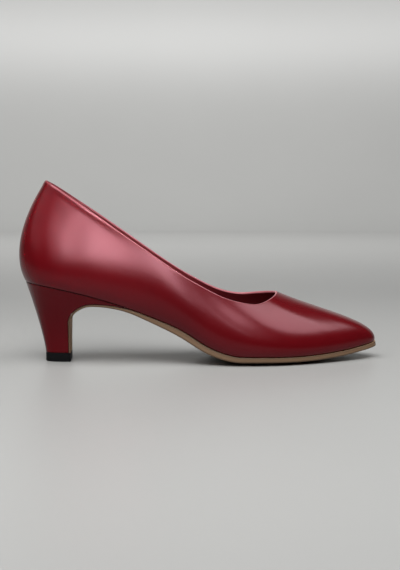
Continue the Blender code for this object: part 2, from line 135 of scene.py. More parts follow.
# The upper's wall: one row for each section, from the middle of the heel to the tip of the toe.
# foot is where the wall turns under (the feather line) and top is the topline. Stations are in percent
# of the length, widths in percent of the ball width from the axis, and heights in percent of the way from
# the instep's height to the back's, with lift the medial side's extra. The wall leaves the foot at flare
# degrees outside the vertical and leaves the topline at drop degrees below the horizontal, and each
# reach is the length in millimetres over which it keeps that direction.
Section = namedtuple(
    "Section",
    "foot_x foot_lateral foot_medial top_x top_lateral top_medial height lift"
    " flare foot_reach drop top_reach",
)
SECTIONS = (
    Section(1.5, 0.0, 0.0, 7.1, 0.0, 0.0, 100.0, 0.0, 30, 12.0, 57, 41.0),
    Section(2.7, 16.3, 16.3, 7.8, 9.1, 9.1, 98.5, 0.0, 31, 12.0, 60, 38.0),
    Section(5.8, 27.7, 27.7, 10.1, 17.3, 17.3, 94.0, 0.0, 33, 12.5, 67, 33.0),
    Section(11.3, 33.6, 33.3, 15.2, 25.1, 25.1, 82.9, 0.0, 34, 13.0, 76, 27.0),
    Section(19.2, 34.1, 32.5, 22.1, 29.6, 29.3, 67.3, 0.7, 34, 13.0, 81, 22.0),
    Section(28.3, 32.8, 28.5, 29.6, 32.0, 30.9, 49.9, 1.3, 34, 13.0, 82, 18.0),
    Section(37.5, 33.6, 25.1, 37.1, 34.1, 32.0, 33.3, 1.0, 34, 12.0, 80, 15.0),
    Section(46.3, 38.7, 27.3, 44.2, 36.3, 33.3, 17.6, 1.3, 34, 12.0, 76, 13.0),
    Section(54.2, 45.6, 36.0, 50.6, 37.9, 35.3, 5.8, 1.6, 32, 11.5, 69, 12.5),
    Section(62.5, 50.1, 45.1, 56.3, 38.4, 36.7, -3.0, 2.3, 30, 11.0, 60, 13.0),
    Section(70.8, 48.5, 48.8, 61.3, 36.5, 35.7, -7.3, 3.3, 27, 10.5, 51, 14.5),
    Section(80.0, 39.3, 44.0, 65.2, 32.0, 32.0, -8.7, 5.3, 24, 11.0, 42, 18.0),
    Section(88.8, 25.6, 33.3, 68.1, 25.1, 25.9, -6.4, 4.3, 20, 12.0, 34, 22.0),
    Section(95.4, 13.3, 23.3, 70.2, 16.0, 17.9, -3.4, 2.4, 16, 13.0, 28, 27.0),
    Section(98.8, 4.7, 15.3, 71.4, 6.1, 8.8, -1.2, 1.0, 13, 14.0, 25, 31.0),
    Section(99.8, -5.3, 5.3, 71.7, -1.6, 1.6, 0.0, 0.0, 12, 14.0, 24, 32.0),
)

# The bed that all pieces share: one row for each station in percent of the length. rise is in percent of
# the way from the tread's height to the heel's, tilt is the slope up to the medial side, and sole is the
# outsole's thickness in millimetres.
Bed = namedtuple("Bed", "station rise tilt sole")
BEDS = (
    Bed(1.5, 100.0, 0.000, 1.2),
    Bed(5.8, 95.1, 0.000, 1.2),
    Bed(11.3, 89.2, 0.000, 1.2),
    Bed(19.2, 80.4, 0.005, 1.2),
    Bed(28.3, 68.4, 0.030, 1.8),
    Bed(37.5, 53.1, 0.055, 3.2),
    Bed(46.3, 32.4, 0.045, 4.0),
    Bed(50.4, 18.7, 0.030, 3.9),
    Bed(54.6, 8.1, 0.015, 3.7),
    Bed(58.8, 1.8, 0.005, 3.4),
    Bed(62.9, 0.2, 0.000, 3.2),
    Bed(68.8, 0.0, 0.000, 3.1),
    Bed(75.0, 0.8, 0.000, 3.1),
    Bed(83.3, 4.3, 0.000, 3.1),
    Bed(91.7, 10.0, 0.000, 3.0),
    Bed(100.0, 17.8, 0.000, 2.8),
)


def size(name, default, description):
    """A length that the sidebar shows."""
    return FloatProperty(
        name=name, description=description, default=default, precision=5, unit="LENGTH"
    )


def number(name, default, description):
    """A plain number that the sidebar shows."""
    return FloatProperty(name=name, description=description, default=default, precision=3)


def colour(name, default, description):
    """A colour that the sidebar shows."""
    return FloatVectorProperty(
        name=name, description=description, default=default, size=3, min=0, max=1, subtype="COLOR"
    )


class LastSizes(bpy.types.PropertyGroup):
    """Driving sizes of the last."""

    length: size("Length", 0.240, "Foot bed from the back of the heel to the tip of the toe")
    ball_width: size("Ball width", 0.075, "Width that the sections' widths are shares of")
    heel_height: size("Heel height", 0.0534, "Bed over the floor at the back")
    tread_height: size("Tread height", 0.0024, "Bed over the floor at the ball")
    instep_height: size("Instep height", 0.0463, "Topline over the floor at the vamp")
    back_height: size("Back height", 0.1206, "Topline over the floor at the back")
    bed_cup: number("Bed cup", 2.4, "Rise of the bed's edges by the square of their distance, per metre")


class LeatherSizes(bpy.types.PropertyGroup):
    """Thicknesses, edges and clearances of the leather pieces."""

    wall: size("Wall", 0.0018, "Calf and lining together")
    calf: size("Calf", 0.0010, "Outer leather of the upper")
    lining_space: size("Lining space", 0.00005, "Cement between the calf and the lining")
    lining_foot: size("Lining foot", 0.0022, "Lower edge of the lining up the wall, behind the insole")
    feather_round: size("Feather round", 0.0012, "Bend of the calf where it turns under the foot")
    lasting_margin: size("Lasting margin", 0.007, "Width of the calf that is lasted under the foot")
    lasting_thickness: size("Lasting thickness", 0.0016, "Thickness of the lasted margin")
    roll_radius: size("Roll radius", 0.00094, "Radius of the rolled topline")
    roll_seat: size("Roll seat", 0.0, "How far under its middle the roll sits on the wall")
    hem_reach: size("Hem reach", 0.010, "Depth under the topline that gets the hem's fine rows")
    hem_bead: size("Hem bead", 0.00030, "How far the soft bead of the turned hem stands out at the topline")
    hem_rise: size("Hem rise", 0.00095, "How much taller the roll is over the turned hem")
    hem_spread: size("Hem spread", 0.0016, "Depth under the roll at which the bead turns inward most")
    hem_full: size("Hem full", 0.030, "Station to which the hem shows in full")
    hem_end: size("Hem end", 0.074, "Station at which the hem has died away")
    insole: size("Insole", 0.002, "Thickness of the insole with its sock")
    insole_round: size("Insole round", 0.0007, "Radius of the sock's upper edge")
    sole_edge: size("Sole edge", 0.0005, "How far the sole stands out past the feather line")
    sole_bevel: size("Sole bevel", 0.0007, "Trimmed lower edge of the sole")
    sole_round: size("Sole round", 0.0003, "Rounded upper edge of the sole")
    breast_flap: size("Breast flap", 0.0012, "Thickness of the sole's flap down the breast")
    gap: size("Gap", 0.00035, "Clearance between neighbouring pieces")


class HeelSizes(bpy.types.PropertyGroup):
    """Heel block, its rubber top piece and the breast curve that the sole follows."""

    top_piece_height: size("Top piece height", 0.0057, "Rubber under the heel")
    top_piece_bevel: size("Top piece bevel", 0.0005, "Trimmed lower edge of the rubber")
    top_piece_round: size("Top piece round", 0.00015, "Softened upper edge of the rubber")
    base_back: size("Base back", 0.0164, "Station of the back of the heel's base")
    base_length: size("Base length", 0.0154, "Length of the heel's base")
    base_half: size("Base half width", 0.0098, "Half width of the heel's base")
    base_squareness: number("Base squareness", 2.6, "Power of the base's rounded back, 2 for an ellipse")
    back_hollow: number("Back hollow", 1.26, "Power of the hollow line down the back")
    side_hollow: number("Side hollow", 1.6, "Power of the hollow line down the sides")
    breast_straight: size("Breast straight", 0.0260, "Height to which the breast is straight")
    breast_curve_length: size("Breast curve length", 0.0162, "Length of the breast's curve to the arch")
    breast_curve_top: size("Breast curve top", 0.038, "Height at which that curve ends")
    wing_tip: size("Wing tip", 0.069, "Station at which the heel's wing ends")
    wing_join: size("Wing join", 0.078, "Station at which sole and upper meet")
    breast_seat: size("Breast seat", 0.024, "Station on the seat over the breast's corner")
    edge_round: size("Edge round", 0.0004, "Radius of the covered edges")


class FinishColours(bpy.types.PropertyGroup):
    """Colours of the materials."""

    calf: colour("Calf", (0.077, 0.0015, 0.0031), "Outer leather of upper and heel")
    # fold is a painted highlight: the colour painted on the top of the rolled topline, paler than the calf,
    # where light falls on it
    fold: colour("Fold", (0.30, 0.095, 0.108), "Crown of the topline, where the dye is stretched thin")
    lining: colour("Lining", (0.12, 0.006, 0.010), "Kid lining and sock")
    sole: colour("Sole", (0.34, 0.20, 0.115), "Grain side of the sole leather")
    sole_edge: colour("Sole edge", (0.135, 0.080, 0.045), "Burnished edge of the sole")
    rubber: colour("Rubber", (0.004, 0.004, 0.0045), "Top piece")
    floor: colour("Floor", (0.245, 0.245, 0.239), "Floor and backdrop")


class StageSizes(bpy.types.PropertyGroup):
    """Camera, lights and floor."""

    camera_station: size("Camera station", 0.078, "Station that the camera stands square to")
    camera_distance: size("Camera distance", 0.750, "Camera from the shoe's axis")
    camera_height: size("Camera height", 0.112, "Camera over the floor")
    pixel: size("Pixel", 0.00067, "Length on the shoe's axis that one pixel shows")
    aim_height: size("Aim height", 0.050, "Height that the middle of the picture shows")
    floor_radius: size("Floor radius", 2.4, "Flat part of the floor")
    cove_radius: size("Cove radius", 0.8, "Curve from the floor to the backdrop")
    backdrop_height: size("Backdrop height", 2.4, "Top of the backdrop over the floor")


class PumpSettings(bpy.types.PropertyGroup):
    """All that a user would change."""

    last: PointerProperty(type=LastSizes)
    leather: PointerProperty(type=LeatherSizes)
    heel: PointerProperty(type=HeelSizes)
    colours: PointerProperty(type=FinishColours)
    stage: PointerProperty(type=StageSizes)


def closed_spline(knots, values):
    """A smooth closed curve through rows of values: knots has one entry more, the length of the loop."""
    count = len(values)
    step = np.diff(knots)
    before = np.roll(step, 1)
    ahead = (np.roll(values, -1, axis=0) - values) / step[:, None]
    system = np.zeros((count, count))
    for i in range(count):
        system[i, i - 1] += before[i]
        system[i, i] += 2 * (before[i] + step[i])
        system[i, (i + 1) % count] += step[i]
    bend = np.linalg.solve(system, 6 * (ahead - np.roll(ahead, 1, axis=0)))

    def curve(where):
        where = np.mod(np.asarray(where, float), knots[-1])
        i = np.clip(np.searchsorted(knots, where, side="right") - 1, 0, count - 1)
        j = (i + 1) % count
        a = ((knots[i + 1] - where) / step[i])[:, None]
        b = 1 - a
        h = step[i][:, None]
        curl = ((a**3 - a) * bend[i] + (b**3 - b) * bend[j]) * h * h / 6
        return a * values[i] + b * values[j] + curl

    return curve


def open_spline(stations, values):
    """A smooth function of one number through a table's rows, straight at both ends."""
    stations = np.asarray(stations, float)
    values = np.asarray(values, float)
    step = np.diff(stations)
    slope = np.diff(values) / step
    count = len(stations)
    system = np.eye(count)
    right = np.zeros(count)
    for i in range(1, count - 1):
        system[i, i - 1 : i + 2] = step[i - 1], 2 * (step[i - 1] + step[i]), step[i]
        right[i] = 6 * (slope[i] - slope[i - 1])
    bend = np.linalg.solve(system, right)

    def curve(where):
        where = np.clip(np.asarray(where, float), stations[0], stations[-1])
        i = np.clip(np.searchsorted(stations, where, side="right") - 1, 0, count - 2)
        a = (stations[i + 1] - where) / step[i]
        b = 1 - a
        curl = ((a**3 - a) * bend[i] + (b**3 - b) * bend[i + 1]) * step[i] ** 2 / 6
        return a * values[i] + b * values[i + 1] + curl

    return curve


def unit(vectors):
    """The same directions, each one long."""
    return vectors / np.linalg.norm(vectors, axis=-1, keepdims=True)


def smooth(share):
    """A soft step from 0 to 1."""
    share = np.clip(share, 0, 1)
    return share * share * (3 - 2 * share)


def crowded(even):
    """Places round the shoe, 0 at the heel and 0.5 at the toe, moved closer to both ends."""
    return even - END_CROWDING * np.sin(4 * np.pi * even) / (4 * np.pi)


def around(count):
    """Places all round the shoe, lateral side first."""
    return crowded(np.arange(count) / count)


def along(count):
    """Places along the lateral side from the heel to the toe, with the medial ones at their negatives."""
    return crowded(np.linspace(0, 0.5, count + 1))


def ramps(start, end, count):
    """Rows of even steps from a column of starts to a column of ends."""
    share = np.linspace(0, 1, count + 1)[None, :]
    return start[:, None] * (1 - share) + end[:, None] * share


def across(lateral, medial, count):
    """Points on straight lines from the lateral to the medial ends, count steps each."""
    share = np.linspace(0, 1, count + 1)[None, :, None]
    return lateral[:, None, :] * (1 - share) + medial[:, None, :] * share


def bend_through(start, corner, end, count):
    """Points of a soft bend from start to end that turns at a corner, without its two ends."""
    t = np.linspace(0, 1, count + 1)[1:-1][:, None]
    return (1 - t) ** 2 * start + 2 * t * (1 - t) * corner + t * t * end


def trimmed(line, start, end):
    """A row of as many points along a line, shortened by a length at each end."""
    run = np.concatenate([[0], np.cumsum(np.linalg.norm(np.diff(line, axis=0), axis=1))])
    places = np.linspace(start, run[-1] - end, len(line))
    return np.stack([np.interp(places, run, line[:, axis]) for axis in range(3)], axis=-1)


def rounded_ring(sides, radii):
    """A closed ring from sides that each start where the last one ended, with a radius at each start."""
    lengths = [np.linalg.norm(np.diff(side, axis=0), axis=1).sum() for side in sides]
    count = len(sides)
    cuts = [
        min(radii[i], CORNER_LIMIT * lengths[i], CORNER_LIMIT * lengths[i - 1])
        for i in range(count)
    ]
    kept = [trimmed(side, cuts[i], cuts[(i + 1) % count]) for i, side in enumerate(sides)]
    ring = []
    for i, side in enumerate(kept):
        ring.append(bend_through(kept[i - 1][-1], sides[i][0], side[0], CORNER_STEPS))
        ring.append(side)
    return np.concatenate(ring)


# Columns of the closed curve that holds the sections of both sides
FOOT_X, FOOT_Y, TOP_X, TOP_Y, TOP_Z, FLARE, FOOT_REACH, DROP, TOP_REACH = range(9)


class Last:
    """The last that all pieces are made on, with the arch of the heel."""

    def __init__(self, pump):
        self.sizes = pump.last
        self.leather = pump.leather
        self.heel = pump.heel
        self.section_at = self.loop_of_sections()
        stations = [bed.station * PERCENT * self.sizes.length for bed in BEDS]
        climb = self.sizes.heel_height - self.sizes.tread_height
        self.bed_centre = open_spline(
            stations, [self.sizes.tread_height + bed.rise * PERCENT * climb for bed in BEDS]
        )
        self.bed_tilt = open_spline(stations, [bed.tilt for bed in BEDS])
        self.sole_thickness = open_spline(stations, [bed.sole * MM for bed in BEDS])
        self.breast_x = self.heel.base_back + self.heel.base_length + self.leather.gap
        self.base_z = self.heel.top_piece_height + self.leather.gap

    def section_row(self, section, medial):
        """A section's values on one side in metres and radians, its wall ending under the rolled edge."""
        foot_y = section.foot_medial if medial else -section.foot_lateral
        top_y = section.top_medial if medial else -section.top_lateral
        share = section.height + (section.lift if medial else 0.0)
        rise = self.sizes.back_height - self.sizes.instep_height
        return (
            section.foot_x * PERCENT * self.sizes.length,
            foot_y * PERCENT * self.sizes.ball_width,
            section.top_x * PERCENT * self.sizes.length,
            top_y * PERCENT * self.sizes.ball_width,
            self.sizes.instep_height + share * PERCENT * rise - self.leather.wall / 2,
            np.radians(section.flare),
            section.foot_reach * MM,
            np.radians(section.drop),
            section.top_reach * MM,
        )

    def loop_of_sections(self):
        """The closed curve of section values: 0 is the heel, 0.5 the toe, along the lateral side first."""
        lateral = np.array([self.section_row(s, medial=False) for s in SECTIONS])
        medial = np.array([self.section_row(s, medial=True) for s in SECTIONS])
        plan = (FOOT_X, FOOT_Y)
        chords = [np.linalg.norm(np.diff(side[:, plan], axis=0), axis=1) for side in (lateral, medial)]
        half = np.concatenate([[0.0], np.cumsum(sum(chords))])
        half = half / half[-1] / 2
        knots = np.concatenate([half, 1 - half[-2::-1]])
        return closed_spline(knots, np.concatenate([lateral, medial[-2:0:-1]]))

    def bed_height(self, x, y):
        """Height of the underside of the lasted upper, cupped across the foot."""
        return self.bed_centre(x) + self.bed_tilt(x) * y + self.sizes.bed_cup * y * y

    def bed_normal(self, x, y):
        """Upward normal of the bed along the foot, in the plane of X and Z."""
        rise = self.bed_height(x + SLOPE_REACH, y) - self.bed_height(x - SLOPE_REACH, y)
        slope = rise / (2 * SLOPE_REACH)
        return unit(np.stack([-slope, np.zeros_like(slope), np.ones_like(slope)], axis=-1))

    def on_bed(self, points, height):
        """The same points of the floor plan at a height over the bed."""
        placed = points.copy()
        placed[..., 2] = self.bed_height(points[..., 0], points[..., 1]) + height
        return placed

    def plan_normal(self, where, x, y):
        """Outward direction on the floor plan at places round a closed curve of sections."""
        run = self.section_at(where + NUDGE) - self.section_at(where - NUDGE)
        return unit(np.stack([run[:, y], -run[:, x], np.zeros(len(run))], axis=-1))

    def foot_points(self, where, outset=0.0):
        """Points of the feather line, moved outwards on the floor plan, on the bed."""
        rows = self.section_at(where)
        flat = np.stack([rows[:, FOOT_X], rows[:, FOOT_Y], np.zeros(len(rows))], axis=-1)
        return self.on_bed(flat + self.plan_normal(where, FOOT_X, FOOT_Y) * outset, 0.0)

    def wall_points(self, where, up):
        """Points of the upper's outside, for places round the shoe and rows of shares up the wall."""
        rows = self.section_at(where)
        foot = self.foot_points(where)
        top = rows[:, [TOP_X, TOP_Y, TOP_Z]]
        rise = np.array([0.0, 0.0, 1.0])
        flare = rows[:, [FLARE]]
        foot_way = self.plan_normal(where, FOOT_X, FOOT_Y) * np.sin(flare) + rise * np.cos(flare)
        outward = foot - top
        outward[:, 2] = 0
        reach = np.linalg.norm(outward, axis=1, keepdims=True)
        lean = self.plan_normal(where, TOP_X, TOP_Y) + outward / np.maximum(reach, LEAN_REACH)
        drop = rows[:, [DROP]]
        top_way = unit(lean) * np.cos(drop) - rise * np.sin(drop)
        handles = (
            foot,
            foot + foot_way * rows[:, [FOOT_REACH]],
            top + top_way * rows[:, [TOP_REACH]],
            top,
        )
        t = np.asarray(up, float)[..., None]
        weights = ((1 - t) ** 3, 3 * t * (1 - t) ** 2, 3 * t * t * (1 - t), t**3)
        return sum(weight * handle[:, None, :] for weight, handle in zip(weights, handles))

    def wall_frame(self, where, up):
        """Outside points of the wall with their outward normals and their upward directions."""
        points = self.wall_points(where, up)
        run = self.wall_points(where + NUDGE, up) - self.wall_points(where - NUDGE, up)
        climb = self.wall_points(where, up + NUDGE) - self.wall_points(where, up - NUDGE)
        return points, unit(np.cross(run, climb)), unit(climb)

    def up_from_foot(self, where, distance):
        """Shares of the way up the wall at a short distance from the feather line."""
        return distance / (BEZIER_SPEED * self.section_at(where)[:, FOOT_REACH])

    def down_from_top(self, where, distance):
        """Shares of the way up the wall at a short distance under the topline."""
        return 1 - distance / (BEZIER_SPEED * self.section_at(where)[:, TOP_REACH])

    def inside_points(self, where, height):
        """Points of the upper's inside at a height over the bed, at places round the shoe."""
        up = np.linspace(0, PROBE_SHARE, PROBE_STEPS + 1)[None, :]
        outside, out, _ = self.wall_frame(where, up)
        inside = outside - out * self.leather.wall
        over = inside[..., 2] - self.bed_height(inside[..., 0], inside[..., 1])
        return np.array(
            [
                [np.interp(height, level, column[:, axis]) for axis in range(3)]
                for level, column in zip(over, inside)
            ]
        )

    def half_width(self, x, medial):
        """Width of the feather line from the axis at a station, on one side."""
        where = along(ALONG_STEPS)
        rows = self.section_at(1 - where if medial else where)
        return np.interp(x, rows[:, FOOT_X], np.abs(rows[:, FOOT_Y]))

    def place_of(self, x):
        """The places along the lateral feather line, from 0 to 0.5, at stations."""
        where = along(ALONG_STEPS)
        return np.interp(x, self.section_at(where)[:, FOOT_X], where)

    def breast_line(self):
        """Points up the straight breast, from the top piece, with no cupping."""
        height = np.linspace(self.base_z, self.heel.breast_straight, BREAST_STEPS + 1)
        return np.stack([np.full(len(height), self.breast_x), height], axis=-1), np.zeros(len(height))

    def breast_curve(self):
        """Points round the quarter ellipse from the breast to the arch, with their share of cupping."""
        turn = np.linspace(0, np.pi / 2, CURVE_STEPS + 1)
        x = self.breast_x + self.heel.breast_curve_length * (1 - np.cos(turn))
        rise = self.heel.breast_curve_top - self.heel.breast_straight
        z = self.heel.breast_straight + rise * np.sin(turn)
        return np.stack([x, z], axis=-1), (1 - np.cos(2 * turn)) / 2

    def wing_line(self, end):
        """Points from the top of the arch to a station on the way to the waist, with full cupping."""
        start = self.breast_x + self.heel.breast_curve_length
        span = self.heel.wing_join - start
        normal = self.bed_normal(np.array(self.heel.wing_join), np.array(0.0))
        end_slope = -normal[0] / normal[2] * span
        x = np.linspace(start, end, WING_STEPS + 1)
        t = (x - start) / span
        join = self.bed_height(self.heel.wing_join, 0.0) - self.leather.gap
        z = (
            (2 * t**3 - 3 * t**2 + 1) * self.heel.breast_curve_top
            + (3 * t**2 - 2 * t**3) * join
            + (t**3 - t**2) * end_slope
        )
        return np.stack([x, z], axis=-1), np.ones(len(t))

    def arch_line(self, wing_end):
        """Centre line from the top piece to the wing, with its cupping and its normals into the heel."""
        parts = self.breast_line(), self.breast_curve(), self.wing_line(wing_end)
        line = np.concatenate([parts[0][0], parts[1][0][1:], parts[2][0][1:]])
        cupping = np.concatenate([parts[0][1], parts[1][1][1:], parts[2][1][1:]])
        run = unit(np.gradient(line, axis=0))
        return line, cupping, np.stack([-run[:, 1], run[:, 0]], axis=-1)

    def heel_half_width(self, x, z, medial):
        """Half width of the heel block at a station and height, hollowed between its base and its seat."""
        seat = self.half_width(x, medial)
        top = self.bed_height(x, 0.0) - self.leather.gap
        share = np.clip((z - self.base_z) / (top - self.base_z), 0, 1)
        return self.heel.base_half + (seat - self.heel.base_half) * share**self.heel.side_hollow

    def arch_rows(self, line, cupping, lateral, medial):
        """Rows of points across the arch, with the bed's cup and tilt where it has them."""
        share = np.linspace(0, 1, ACROSS_STEPS + 1)[None, :]
        y = -lateral[:, None] * (1 - share) + medial[:, None] * share
        x = np.broadcast_to(line[:, :1], y.shape)
        z = line[:, 1:] + cupping[:, None] * (self.bed_tilt(x) * y + self.sizes.bed_cup * y * y)
        return np.stack([x, y, z], axis=-1)

    def base_outline(self):
        """Lateral half of the heel's base, from the middle of its back to the corner of its breast."""
        turn = np.linspace(0, np.pi / 2, HEEL_BACK_STEPS + 1)
        power = 2 / self.heel.base_squareness
        x = self.heel.base_back + self.heel.base_length * (1 - np.cos(turn) ** power)
        return x, self.heel.base_half * np.sin(turn) ** power

    def heel_side(self, base, seat):
        """Columns of one side of the heel from its base or breast points up to its seat points."""
        up = np.linspace(0, 1, HEEL_WALL_STEPS + 1)[None, :]
        start = ((base[:, 2] - self.base_z) / (seat[:, 2] - self.base_z))[:, None]
        share = start + (1 - start) * up
        x = base[:, :1] + (seat[:, :1] - base[:, :1]) * up**self.heel.back_hollow
        z = self.base_z + (seat[:, 2:] - self.base_z) * share
        width = share**self.heel.side_hollow
        width = (width - width[:, :1]) / (1 - width[:, :1])
        y = base[:, 1:2] + (seat[:, 1:2] - base[:, 1:2]) * width
        return np.stack([x, y, z], axis=-1)


def origin():
    """Where the frame puts the back of the heel's axis, from the place of its top piece."""
    low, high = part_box("top_piece")
    back = bpy.context.scene.pump.heel.base_back
    return np.array([low.x - back, (low.y + high.y) / 2, 0.0])


def ring_faces(index, closed):
    """Faces between neighbouring rings of point numbers, and from the last ring to the first if closed."""
    first = index if closed else index[:-1]
    second = np.roll(index, -1, axis=0) if closed else index[1:]
    quads = np.stack(
        [first, np.roll(first, -1, axis=1), np.roll(second, -1, axis=1), second], axis=-1
    )
    return quads.reshape(-1, 4).tolist()


def add_layers(data, layers):
    """Gives a mesh's points named values, one number or one direction for each point."""
    for name, values in layers.items():
        kind, field = ("FLOAT", "value") if values.ndim == 1 else ("FLOAT_VECTOR", "vector")
        layer = data.attributes.new(name, kind, "POINT")
        layer.data.foreach_set(field, np.ascontiguousarray(values, np.float32).ravel())


def loft(name, rings, closed, layers=None):
    """A closed mesh through rings of points, with named values of the points in layers."""
    index = np.arange(rings.shape[0] * rings.shape[1]).reshape(rings.shape[:2])
    faces = ring_faces(index, closed)
    if not closed:
        faces += [index[0].tolist(), index[-1].tolist()]
    data = bpy.data.meshes.new(name)
    data.from_pydata((rings.reshape(-1, 3) + origin()).tolist(), [], faces)
    add_layers(data, layers or {})
    weld(data)
    return data


def weld(data, closed=True):
    """Merges a mesh's doubles, points the faces of a closed one outwards, and shades it."""
    work = bmesh.new()
    work.from_mesh(data)
    bmesh.ops.remove_doubles(work, verts=work.verts, dist=WELD_DISTANCE)
    bmesh.ops.dissolve_degenerate(work, edges=work.edges, dist=WELD_DISTANCE)
    if closed:
        bmesh.ops.recalc_face_normals(work, faces=work.faces)
    work.to_mesh(data)
    work.free()
    data.shade_smooth()
    data.set_sharp_from_angle(angle=np.radians(SHARP_ANGLE))


def add_piece(name, data, material, node):
    """Puts a finished mesh in the scene as a piece that stands for a node of the frame."""
    data.materials.clear()
    data.materials.append(material)
    piece = bpy.data.objects.new(name, data)
    bpy.context.scene.collection.objects.link(piece)
    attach(piece, BODY)
    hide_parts(node)
    return piece


class Wire:
    """An output socket of a node tree, on which sums and products add Math nodes."""

    def __init__(self, socket):
        self.socket = socket
        self.tree = socket.id_data

    @staticmethod
    def node(tree, kind, settings=None, sockets=None, out=0):
        """Adds a node, sets it up, fills or links its sockets, and gives the wire of one output."""
        made = tree.nodes.new(kind)
        for name, value in (settings or {}).items():
            if name == "stops":
                Wire.set_stops(made.color_ramp, value)
            else:
                setattr(made, name, value)
        for key, value in (sockets or {}).items():
            if isinstance(value, Wire):
                tree.links.new(value.socket, made.inputs[key])
            else:
                made.inputs[key].default_value = value
        return Wire(made.outputs[out]) if len(made.outputs) else None

    @staticmethod
    def set_stops(ramp, stops):
        """Gives a ramp its stops, each a place and a grey or a colour."""
        while len(ramp.elements) < len(stops):
            ramp.elements.new(1.0)
        for element, (place, shade) in zip(ramp.elements, stops):
            element.position = place
            element.color = (*shade, 1.0) if hasattr(shade, "__len__") else (shade, shade, shade, 1.0)

    def maths(self, operation, first, second):
        """A Math node on two values or wires."""
        return Wire.node(self.tree, "ShaderNodeMath", {"operation": operation}, {0: first, 1: second})

    def __add__(self, other):
        return self.maths("ADD", self, other)

    __radd__ = __add__

    def __sub__(self, other):
        return self.maths("SUBTRACT", self, other)

    def __rsub__(self, other):
        return self.maths("SUBTRACT", other, self)

    def __mul__(self, other):
        return self.maths("MULTIPLY", self, other)

    __rmul__ = __mul__


class Finish:
    """A new material's tree, with the textures that the leathers and the rubber share."""

    def __init__(self, name):
        self.material = bpy.data.materials.new(name)
        self.material.use_nodes = True
        self.tree = self.material.node_tree
        self.shader = self.tree.nodes["Principled BSDF"]
        self.place = self.add("ShaderNodeTexCoord", out="Object")

    def add(self, kind, settings=None, sockets=None, out=0):
        """A node of this material."""
        return Wire.node(self.tree, kind, settings, sockets, out)

    def noise(self, cells, detail=2.0, stretch=(1.0, 1.0, 1.0)):
        """Soft noise with about so many cells in a metre, from 0 to 1."""
        place = self.add("ShaderNodeMapping", sockets={"Vector": self.place, "Scale": stretch})
        return self.add(
            "ShaderNodeTexNoise", sockets={"Vector": place, "Scale": cells, "Detail": detail}, out="Fac"
        )

    def layer(self, name):
        """The values that the mesh's points hold under a name."""
        return self.add("ShaderNodeAttribute", {"attribute_name": name}, out="Fac")

    def pores(self, cells):
        """Round pits with about so many cells in a metre, 0 in their middles."""
        return self.add(
            "ShaderNodeTexVoronoi", sockets={"Vector": self.place, "Scale": cells}, out="Distance"
        )

    def blend(self, share, first, second):
        """A mix of two colours or wires of colours."""
        return self.add(
            "ShaderNodeMix",
            {"data_type": "RGBA"},
            {"Factor": share, 6: opaque(first), 7: opaque(second)},
            out=2,
        )

    def ramp(self, value, stops):
        """A value passed through a ramp of greys."""
        return self.add("ShaderNodeValToRGB", {"stops": stops}, {"Fac": value}, out="Color")

    def relief(self, height, strength):
        """Normals of a surface with a fine grain."""
        sockets = {"Height": height, "Strength": strength, "Distance": GRAIN_DEPTH}
        return self.add("ShaderNodeBump", sockets=sockets, out="Normal")

    def set(self, **values):
        """Sets or links the shader's sockets, whose names have spaces for the underscores."""
        for name, value in values.items():
            socket = self.shader.inputs[name.replace("_", " ")]
            if isinstance(value, Wire):
                self.tree.links.new(value.socket, socket)
            else:
                socket.default_value = value
        return self.material


def opaque(tint):
    """A colour with its alpha, or a wire as it is."""
    return tint if isinstance(tint, Wire) else (*tint, 1.0)


def tinted(tint, factor):
    """A colour made darker or lighter."""
    return tuple(channel * factor for channel in tint)


def calf_finish(name, shine):
    """Smooth drum-dyed calf: fine pores, faint clouds in the dye and a satin dressing."""
    tint = bpy.context.scene.pump.colours.calf
    calf = Finish(name)
    clouds = calf.noise(cells=34.0, detail=3.0)
    grain = calf.noise(cells=900.0, detail=4.0)
    pores = calf.pores(cells=1500.0)
    dressing = calf.noise(cells=120.0, detail=2.0)
    return calf.set(
        Base_Color=calf.blend(clouds, tinted(tint, 0.86), tinted(tint, 1.12)),
        Roughness=0.20 + 0.03 * dressing + 0.02 * grain,
        Normal=calf.relief(0.6 * grain + 0.4 * pores, strength=0.06),
        Specular_IOR_Level=shine,
        Specular_Tint=CALF_GLOSS,
    )


def fold_finish(name):
    """The same calf folded over the topline, smoother on the crown of the fold and painted lighter there as
    a painted highlight.
    """
    colours = bpy.context.scene.pump.colours
    fold = Finish(name)
    # Painted highlight: the top of the roll is painted in the paler fold colour, with less of it over the
    # turned hem at the back
    highlight_mask = fold.layer("wear") * fold.ramp(fold.layer("crown"), ((0.0, 0.0), (0.5, 1.0)))
    grain = fold.noise(cells=900.0, detail=4.0)
    return fold.set(
        Base_Color=fold.blend(highlight_mask, colours.calf, colours.fold),
        Roughness=0.19 + 0.04 * grain,
        Normal=fold.relief(grain, strength=0.05),
        Specular_IOR_Level=CALF_SHINE,
        Specular_Tint=CALF_GLOSS,
    )


def lining_finish(name):
    """Matt kid lining with a fine nap."""
    tint = bpy.context.scene.pump.colours.lining
    kid = Finish(name)
    clouds = kid.noise(cells=60.0, detail=3.0)
    nap = kid.noise(cells=1600.0, detail=3.0)
    return kid.set(
        Base_Color=kid.blend(clouds, tinted(tint, 0.8), tinted(tint, 1.2)),
        Roughness=0.58 + 0.10 * nap,
        Normal=kid.relief(nap, strength=0.12),
        Specular_IOR_Level=0.3,
    )


